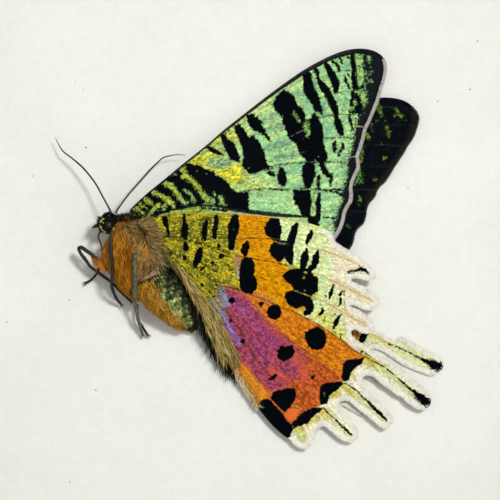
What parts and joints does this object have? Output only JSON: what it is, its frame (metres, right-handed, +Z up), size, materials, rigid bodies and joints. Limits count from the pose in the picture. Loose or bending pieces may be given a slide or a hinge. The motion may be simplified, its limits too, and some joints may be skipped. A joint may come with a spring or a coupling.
{
  "type": "framed moth specimen",
  "caption": "Day-flying moth laid on its side with wings closed on white textured paper, in a square black box frame with a glass front, backing board and hanger.",
  "frame": {"origin": "centre of the bottom rail's underside, at the bottom centre of the bounding box", "axes": "+Z up, +X to the viewer's right, -Y out of the glass towards the viewer"},
  "size_m": [0.124, 0.026, 0.124],
  "materials": {
    "ebonised_wood": "black stained wood, satin",
    "clear_glass": "clear, low reflection",
    "white_card": "matte",
    "rag_paper": "matte, lightly textured",
    "hardboard": "matte",
    "zinc_steel": "dull zinc",
    "rust_fur": "long rust-orange and brown-grey hair",
    "green_scales": "green and black scales over rust hair",
    "black_scales": "black scales with green patches",
    "forewing_green": "green scales with black bars, faint metallic shine",
    "hindwing_amber": "orange, magenta and pale green scales with black spots",
    "wing_black": "black scales with green patches",
    "dark_chitin": "dark brown, slightly glossy",
    "tan_chitin": "tan, matte",
    "eye_brown": "dark brown, glossy"
  },
  "bodies": {
    "root": {"frame_rail_bottom": "ebonised_wood", "frame_rail_top": "ebonised_wood", "frame_rail_left": "ebonised_wood", "frame_rail_right": "ebonised_wood", "glass_pane": "clear_glass", "spacer_bottom": "white_card", "spacer_top": "white_card", "spacer_left": "white_card", "spacer_right": "white_card", "mount_paper": "rag_paper", "backing_board": "hardboard", "hanger": "zinc_steel", "hanger_nail_left": "zinc_steel", "hanger_nail_right": "zinc_steel", "holding_tab_1": "zinc_steel", "holding_tab_2": "zinc_steel", "holding_tab_3": "zinc_steel", "holding_tab_4": "zinc_steel", "holding_tab_5": "zinc_steel", "holding_tab_6": "zinc_steel", "holding_tab_7": "zinc_steel", "holding_tab_8": "zinc_steel", "head": "black_scales", "eye_left": "eye_brown", "eye_right": "eye_brown", "palp_left": "black_scales", "palp_right": "black_scales", "proboscis": "dark_chitin", "antenna_left": "dark_chitin", "antenna_right": "dark_chitin", "thorax": "rust_fur", "abdomen": "green_scales", "forewing_left": "forewing_green", "forewing_right": "wing_black", "hindwing_left": "hindwing_amber", "hindwing_right": "hindwing_amber", "foreleg_left": "dark_chitin", "foreleg_right": "dark_chitin", "midleg_left": "dark_chitin", "midleg_right": "dark_chitin", "hindleg_left": "tan_chitin", "hindleg_right": "dark_chitin"}
  },
  "joints": []
}
